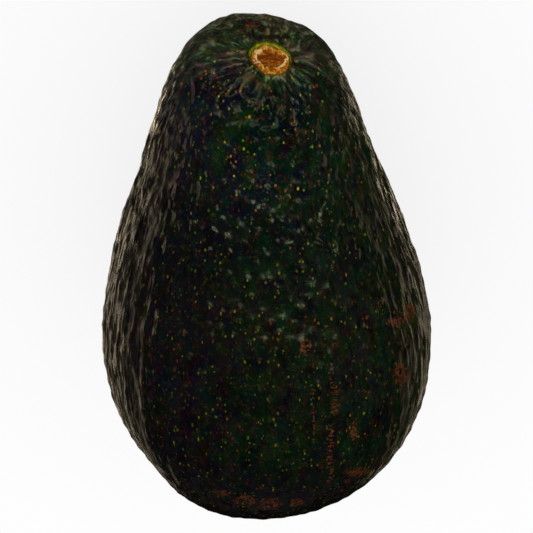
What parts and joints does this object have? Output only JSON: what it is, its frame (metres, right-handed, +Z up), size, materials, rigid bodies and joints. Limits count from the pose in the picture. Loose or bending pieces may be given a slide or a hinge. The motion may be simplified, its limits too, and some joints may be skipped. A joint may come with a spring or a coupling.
{
  "type": "avocado",
  "caption": "Whole pear-shaped avocado with dark pebbled skin, lying on its belly, with the dry stem button in its scar.",
  "frame": {"origin": "middle of the bounding box's underside, in the plane of the flat spot that the fruit rests on", "axes": "+Y towards the stem end, along the fruit's length; +Z up, away from the surface it lies on; +X to the right"},
  "size_m": [0.0732, 0.117, 0.0714],
  "materials": {
    "avocado_skin": "dark green to purple-black pebbled rind, waxy sheen, yellow-green specks and brown russet scuffs",
    "stem_wood": "dry orange-brown cut stem, pale ring, dark fibrous middle, matt"
  },
  "bodies": {
    "root": {"avocado_fruit": "avocado_skin", "stem_button": "stem_wood"}
  },
  "joints": []
}
